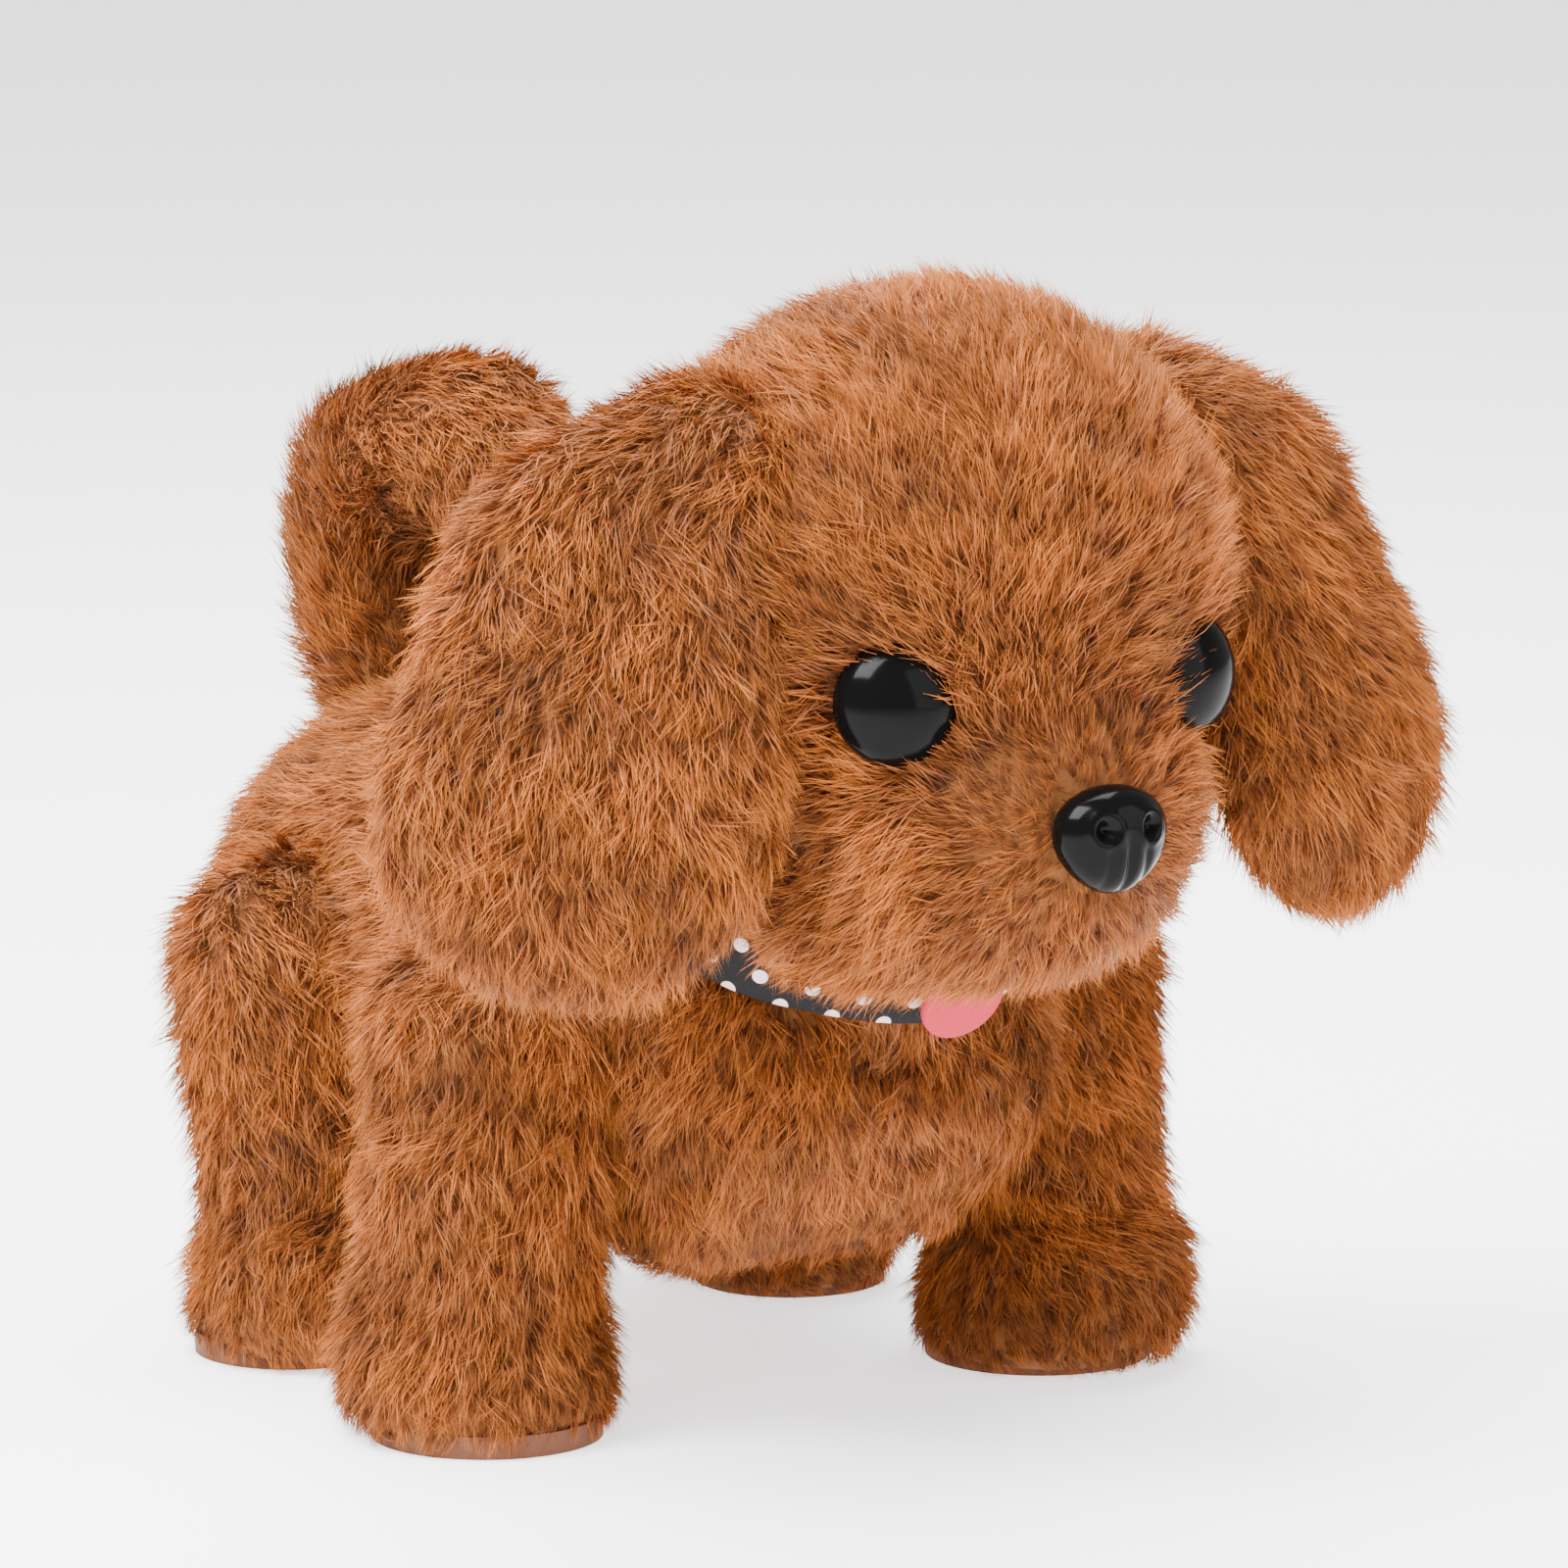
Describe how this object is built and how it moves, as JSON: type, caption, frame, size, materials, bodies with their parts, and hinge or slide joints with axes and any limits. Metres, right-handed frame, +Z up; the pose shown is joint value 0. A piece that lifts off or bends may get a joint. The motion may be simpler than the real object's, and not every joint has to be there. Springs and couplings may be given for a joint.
{
  "type": "walking plush puppy toy",
  "caption": "Floppy-eared plush puppy on four short legs with a curled tail and collar; a battery gearbox swings the legs, wags the tail and nods the head.",
  "frame": {"origin": "middle of the overall box, on the ground under the belly", "axes": "+Z up, -Y out of the nose, +X out of the animal's own left side; +Y is the longest way"},
  "size_m": [0.1552, 0.1947, 0.1548],
  "materials": {
    "fur": "long-pile plush",
    "housing_plastic": "moulded",
    "gear_plastic": "moulded acetal",
    "black_plastic": "polished",
    "dark_plastic": "moulded",
    "steel": "satin",
    "motor_steel": "satin can",
    "board": "solder mask",
    "cell_wrap": "printed sleeve, no marks",
    "sole_rubber": "matt",
    "collar_fabric": "black ribbon with pale dots",
    "tongue_felt": "felt"
  },
  "bodies": {
    "body": {"housing_left": "housing_plastic", "housing_right": "housing_plastic", "housing_screws": "steel", "hip_screws": "steel", "hip_washers": "steel", "motor": "motor_steel", "motor_cradle": "housing_plastic", "gear_axle": "steel", "battery_box": "housing_plastic", "batteries": "cell_wrap", "battery_contacts": "steel", "circuit_board": "board", "speaker": "dark_plastic", "switch_body": "dark_plastic", "plush_torso": "fur", "collar": "collar_fabric", "neck_post": "housing_plastic", "neck_pin": "steel", "tail_boss": "housing_plastic", "tail_pin": "steel"},
    "drive_pinion": {"motor_shaft": "steel", "motor_pinion": "gear_plastic"},
    "drive_compound": {"compound_gear": "gear_plastic"},
    "crank": {"crank_gear": "gear_plastic", "crank_shaft": "steel", "crank_arm_left": "gear_plastic", "crank_arm_right": "gear_plastic", "nod_eccentric": "gear_plastic", "wag_disc": "gear_plastic"},
    "leg_front_left": {"leg_frame_front_left": "housing_plastic", "paw_sole_front_left": "sole_rubber", "plush_leg_front_left": "fur"},
    "leg_front_right": {"leg_frame_front_right": "housing_plastic", "paw_sole_front_right": "sole_rubber", "plush_leg_front_right": "fur"},
    "leg_rear_left": {"leg_frame_rear_left": "housing_plastic", "paw_sole_rear_left": "sole_rubber", "plush_leg_rear_left": "fur"},
    "leg_rear_right": {"leg_frame_rear_right": "housing_plastic", "paw_sole_rear_right": "sole_rubber", "plush_leg_rear_right": "fur"},
    "head": {"head_yoke": "housing_plastic", "skull_left": "housing_plastic", "skull_right": "housing_plastic", "touch_sensor": "steel", "eye_left": "black_plastic", "eye_right": "black_plastic", "eye_washers": "gear_plastic", "nose": "black_plastic", "nose_washer": "gear_plastic", "tongue": "tongue_felt", "plush_head": "fur"},
    "ear_left": {"plush_ear_left": "fur"},
    "ear_right": {"plush_ear_right": "fur"},
    "tail": {"tail_lever": "housing_plastic", "plush_tail": "fur"},
    "battery_door": {"battery_cover": "housing_plastic", "cover_screw": "steel"},
    "power_switch": {"switch_knob": "dark_plastic"}
  },
  "joints": [
    {"name": "crank_turn", "type": "hinge", "parent": "body", "child": "crank", "pos_m": [0, 0.015, 0.05399], "axis": [1, 0, 0], "range_deg": [-90, 90]},
    {"name": "compound_turn", "type": "hinge", "parent": "body", "child": "drive_compound", "pos_m": [0, -0.00137, 0.05838], "axis": [1, 0, 0], "range_deg": [-270, 270]},
    {"name": "pinion_turn", "type": "hinge", "parent": "body", "child": "drive_pinion", "pos_m": [0, -0.01533, 0.0533], "axis": [1, 0, 0], "range_deg": [-675, 675]},
    {"name": "leg_swing_front_left", "type": "hinge", "parent": "body", "child": "leg_front_left", "pos_m": [0, -0.013, 0.05399], "axis": [1, 0, 0], "range_deg": [-9.13, 9.13]},
    {"name": "leg_swing_front_right", "type": "hinge", "parent": "body", "child": "leg_front_right", "pos_m": [0, -0.013, 0.05399], "axis": [1, 0, 0], "range_deg": [-9.13, 9.13]},
    {"name": "leg_swing_rear_left", "type": "hinge", "parent": "body", "child": "leg_rear_left", "pos_m": [0, 0.043, 0.05399], "axis": [1, 0, 0], "range_deg": [-9.13, 9.13]},
    {"name": "leg_swing_rear_right", "type": "hinge", "parent": "body", "child": "leg_rear_right", "pos_m": [0, 0.043, 0.05399], "axis": [1, 0, 0], "range_deg": [-9.13, 9.13]},
    {"name": "head_nod", "type": "hinge", "parent": "body", "child": "head", "pos_m": [0, -0.03, 0.086], "axis": [1, 0, 0], "range_deg": [-4.14, 4.14]},
    {"name": "tail_wag", "type": "hinge", "parent": "body", "child": "tail", "pos_m": [0, 0.0445, 0.05399], "axis": [0, 0, 1], "range_deg": [-12.21, 12.21]},
    {"name": "ear_lift_left", "type": "hinge", "parent": "head", "child": "ear_left", "pos_m": [0.0475, -0.0495, 0.1435], "axis": [-0.7071, -0.7071, 0], "range_deg": [0, 40]},
    {"name": "ear_lift_right", "type": "hinge", "parent": "head", "child": "ear_right", "pos_m": [-0.0475, -0.0495, 0.1435], "axis": [-0.7071, 0.7071, 0], "range_deg": [0, 40]},
    {"name": "battery_door_off", "type": "slide", "parent": "body", "child": "battery_door", "axis": [0, 0, -1], "range_m": [0, 0.014]},
    {"name": "switch_slide", "type": "slide", "parent": "body", "child": "power_switch", "axis": [0, 1, 0], "range_m": [0, 0.003]}
  ],
  "couplings": [
    {"joint": "compound_turn", "follows": "crank_turn", "ratio": -3},
    {"joint": "pinion_turn", "follows": "crank_turn", "ratio": 7.5},
    {"joint": "leg_swing_front_left", "follows": "crank_turn", "ratio": 0.10143},
    {"joint": "leg_swing_front_right", "follows": "crank_turn", "ratio": -0.10143},
    {"joint": "leg_swing_rear_left", "follows": "crank_turn", "ratio": -0.10143},
    {"joint": "leg_swing_rear_right", "follows": "crank_turn", "ratio": 0.10143},
    {"joint": "head_nod", "follows": "crank_turn", "ratio": -0.04599},
    {"joint": "tail_wag", "follows": "crank_turn", "ratio": 0.13566}
  ]
}
